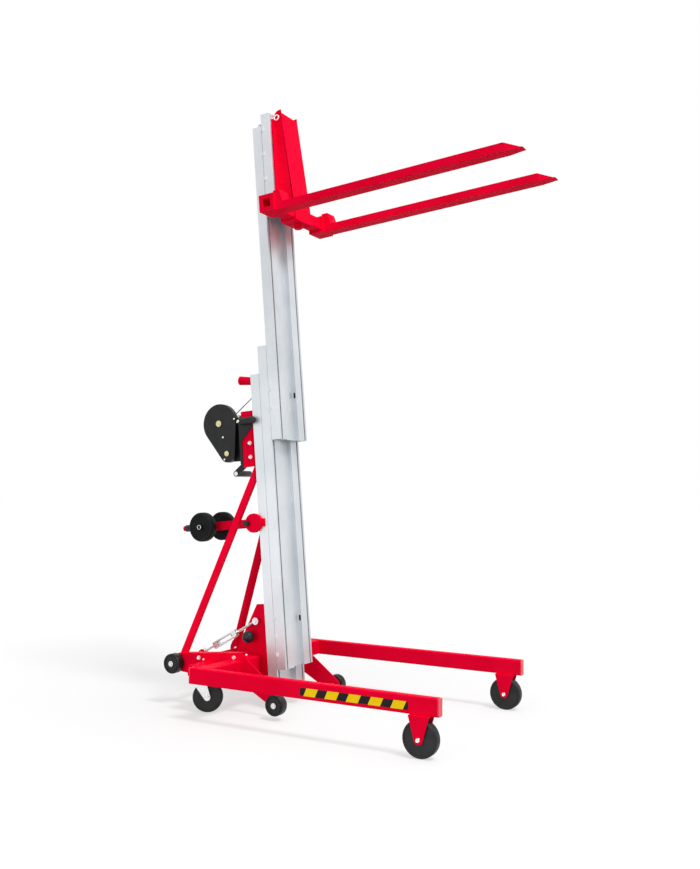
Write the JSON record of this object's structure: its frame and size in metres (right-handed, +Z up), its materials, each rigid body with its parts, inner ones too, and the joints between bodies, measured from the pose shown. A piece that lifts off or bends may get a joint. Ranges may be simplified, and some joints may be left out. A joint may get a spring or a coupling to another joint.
{
  "type": "material hoist",
  "caption": "Wheeled material hoist: a leg frame on wheels and casters carries a leaning telescopic aluminium mast, a hand winch and a carriage with sliding red lifting forks.",
  "frame": {"origin": "on the floor under the middle of the overall box", "axes": "+X forward along the forks, +Y to the left, +Z up"},
  "size_m": [1.571, 0.858, 2.3974],
  "materials": {
    "red_steel": "smooth gloss red powder coat on steel",
    "aluminium": "natural anodised extrusion, fine lines along its length",
    "zinc_steel": "bright zinc plating",
    "cable_steel": "galvanised wire rope",
    "black_steel": "black painted sheet steel",
    "pale_plastic": "plain moulded nylon",
    "black_plastic": "satin moulded plastic",
    "black_rubber": "hard rubber tread on a plastic hub"
  },
  "bodies": {
    "base": {"right_leg": "red_steel", "left_leg": "red_steel", "leg_caps": "red_steel", "cross_member": "red_steel", "wheel_forks": "red_steel", "right_side_plate": "red_steel", "left_side_plate": "red_steel", "rear_tube": "red_steel", "right_strut": "red_steel", "left_strut": "red_steel", "foot_gussets": "red_steel", "caster_brackets": "red_steel", "fixed_mast": "aluminium", "winch_bracket": "red_steel", "winch_frame": "black_steel", "winch_cover": "black_plastic", "lift_cable": "cable_steel", "rest_stud": "red_steel", "arm_bracket": "red_steel", "turnbuckle_eyes": "zinc_steel", "axle_bolts": "zinc_steel", "frame_bolts": "zinc_steel"},
    "right_front_wheel": {"right_front_wheel": "black_rubber"},
    "left_front_wheel": {"left_front_wheel": "black_rubber"},
    "right_caster": {"right_caster_fork": "zinc_steel"},
    "left_caster": {"left_caster_fork": "zinc_steel"},
    "right_caster_wheel": {"right_caster_wheel": "black_rubber"},
    "left_caster_wheel": {"left_caster_wheel": "black_rubber"},
    "rear_right_roller": {"rear_right_roller": "black_rubber"},
    "rear_left_roller": {"rear_left_roller": "black_rubber"},
    "mid_right_roller": {"mid_right_roller": "black_rubber"},
    "mid_left_roller": {"mid_left_roller": "black_rubber"},
    "sheave": {"fixed_sheave": "zinc_steel"},
    "stage_2": {"stage_2": "aluminium", "stage_2_shoes": "pale_plastic"},
    "stage_3": {"stage_3": "aluminium", "stage_3_shoes": "pale_plastic"},
    "carriage": {"carriage_rail": "aluminium", "carriage_shoes": "pale_plastic", "carriage_plate": "red_steel", "cable_ring": "zinc_steel", "crossbar": "red_steel"},
    "clamp_knob": {"clamp_knob": "black_plastic"},
    "right_fork": {"right_fork": "red_steel"},
    "left_fork": {"left_fork": "red_steel"},
    "drum": {"drum": "zinc_steel", "cable_winding": "cable_steel", "drum_gear": "zinc_steel"},
    "idler": {"idler_gear": "zinc_steel"},
    "crank": {"crank_shaft": "zinc_steel", "crank_arm": "black_steel"},
    "crank_grip": {"crank_grip": "black_plastic"},
    "winch_lever": {"winch_lever": "black_plastic"},
    "lock_pin": {"lock_pin": "black_plastic"},
    "turnbuckle": {"turnbuckle_body": "zinc_steel"},
    "transport_arm": {"transport_arm": "red_steel", "arm_grip": "black_plastic"},
    "right_arm_wheel": {"right_arm_wheel": "black_rubber"},
    "left_arm_wheel": {"left_arm_wheel": "black_rubber"},
    "arm_plunger": {"arm_plunger": "black_plastic"}
  },
  "joints": [
    {"name": "right_front_wheel_spin", "type": "hinge", "parent": "base", "child": "right_front_wheel", "pos_m": [0.513, -0.399, 0.0625], "axis": [0, 1, 0], "continuous": true},
    {"name": "right_caster_swivel", "type": "hinge", "parent": "base", "child": "right_caster", "pos_m": [-0.49, -0.263, 0.139], "axis": [0, 0, 1], "continuous": true},
    {"name": "right_caster_wheel_spin", "type": "hinge", "parent": "right_caster", "child": "right_caster_wheel", "pos_m": [-0.46026, -0.24652, 0.058], "axis": [-0.4848, 0.8746, 0], "continuous": true},
    {"name": "rear_right_roller_spin", "type": "hinge", "parent": "base", "child": "rear_right_roller", "pos_m": [-0.64786, -0.225, 0.16329], "axis": [0, 1, 0], "continuous": true},
    {"name": "mid_right_roller_spin", "type": "hinge", "parent": "base", "child": "mid_right_roller", "pos_m": [-0.16113, -0.225, 0.05596], "axis": [0, 1, 0], "continuous": true},
    {"name": "left_front_wheel_spin", "type": "hinge", "parent": "base", "child": "left_front_wheel", "pos_m": [0.513, 0.399, 0.0625], "axis": [0, 1, 0], "continuous": true},
    {"name": "left_caster_swivel", "type": "hinge", "parent": "base", "child": "left_caster", "pos_m": [-0.49, 0.263, 0.139], "axis": [0, 0, 1], "continuous": true},
    {"name": "left_caster_wheel_spin", "type": "hinge", "parent": "left_caster", "child": "left_caster_wheel", "pos_m": [-0.46026, 0.27948, 0.058], "axis": [-0.4848, 0.8746, 0], "continuous": true},
    {"name": "rear_left_roller_spin", "type": "hinge", "parent": "base", "child": "rear_left_roller", "pos_m": [-0.64786, 0.225, 0.16329], "axis": [0, 1, 0], "continuous": true},
    {"name": "mid_left_roller_spin", "type": "hinge", "parent": "base", "child": "mid_left_roller", "pos_m": [-0.16113, 0.225, 0.05596], "axis": [0, 1, 0], "continuous": true},
    {"name": "stage_2_lift", "type": "slide", "parent": "base", "child": "stage_2", "axis": [-0.0906, 0, 0.9959], "range_m": [-0.109, 0.786]},
    {"name": "stage_3_lift", "type": "slide", "parent": "stage_2", "child": "stage_3", "axis": [-0.0906, 0, 0.9959], "range_m": [-0.895, 0]},
    {"name": "carriage_lift", "type": "slide", "parent": "stage_3", "child": "carriage", "axis": [-0.0906, 0, 0.9959], "range_m": [-0.9, 0]},
    {"name": "right_fork_slide", "type": "slide", "parent": "carriage", "child": "right_fork", "axis": [0, 1, 0], "range_m": [0, 0.075]},
    {"name": "left_fork_slide", "type": "slide", "parent": "carriage", "child": "left_fork", "axis": [0, -1, 0], "range_m": [0, 0.075]},
    {"name": "clamp_knob_turn", "type": "hinge", "parent": "carriage", "child": "clamp_knob", "pos_m": [-0.23265, 0, 1.92316], "axis": [-0.0906, 0, 0.9959], "range_deg": [-180, 180]},
    {"name": "drum_spin", "type": "hinge", "parent": "base", "child": "drum", "pos_m": [-0.54637, 0, 1.12244], "axis": [0, 1, 0], "continuous": true},
    {"name": "idler_spin", "type": "hinge", "parent": "base", "child": "idler", "pos_m": [-0.51569, -0.071, 1.03554], "axis": [0, 1, 0], "continuous": true},
    {"name": "crank_spin", "type": "hinge", "parent": "base", "child": "crank", "pos_m": [-0.50309, 0, 0.99985], "axis": [0, 1, 0], "continuous": true},
    {"name": "crank_grip_spin", "type": "hinge", "parent": "crank", "child": "crank_grip", "pos_m": [-0.59627, 0.158, 0.92111], "axis": [0, 1, 0], "continuous": true},
    {"name": "sheave_spin", "type": "hinge", "parent": "base", "child": "sheave", "pos_m": [-0.35278, 0, 1.28465], "axis": [0, 1, 0], "continuous": true},
    {"name": "winch_lever_turn", "type": "hinge", "parent": "base", "child": "winch_lever", "pos_m": [-0.42334, -0.116, 1.12761], "axis": [0, 1, 0], "range_deg": [-12, 12]},
    {"name": "lock_pin_pull", "type": "slide", "parent": "base", "child": "lock_pin", "axis": [0, -1, 0], "range_m": [0, 0.014], "stiffness_N_per_m": 400},
    {"name": "turnbuckle_turn", "type": "hinge", "parent": "base", "child": "turnbuckle", "pos_m": [-0.48556, -0.08, 0.26115], "axis": [0.8688, 0, 0.4952], "range_deg": [-360, 360]},
    {"name": "transport_arm_swing", "type": "hinge", "parent": "base", "child": "transport_arm", "pos_m": [-0.3544, 0, 0.72319], "axis": [0, 1, 0], "range_deg": [-60, 30]},
    {"name": "right_arm_wheel_spin", "type": "hinge", "parent": "transport_arm", "child": "right_arm_wheel", "pos_m": [-0.63524, -0.069, 0.69763], "axis": [0, 1, 0], "continuous": true},
    {"name": "left_arm_wheel_spin", "type": "hinge", "parent": "transport_arm", "child": "left_arm_wheel", "pos_m": [-0.63524, 0.069, 0.69763], "axis": [0, 1, 0], "continuous": true},
    {"name": "arm_plunger_pull", "type": "slide", "parent": "transport_arm", "child": "arm_plunger", "axis": [0, -1, 0], "range_m": [0, 0.005], "stiffness_N_per_m": 400}
  ],
  "couplings": [
    {"joint": "idler_spin", "follows": "drum_spin", "ratio": -3.2184},
    {"joint": "crank_spin", "follows": "drum_spin", "ratio": 4.4586}
  ]
}
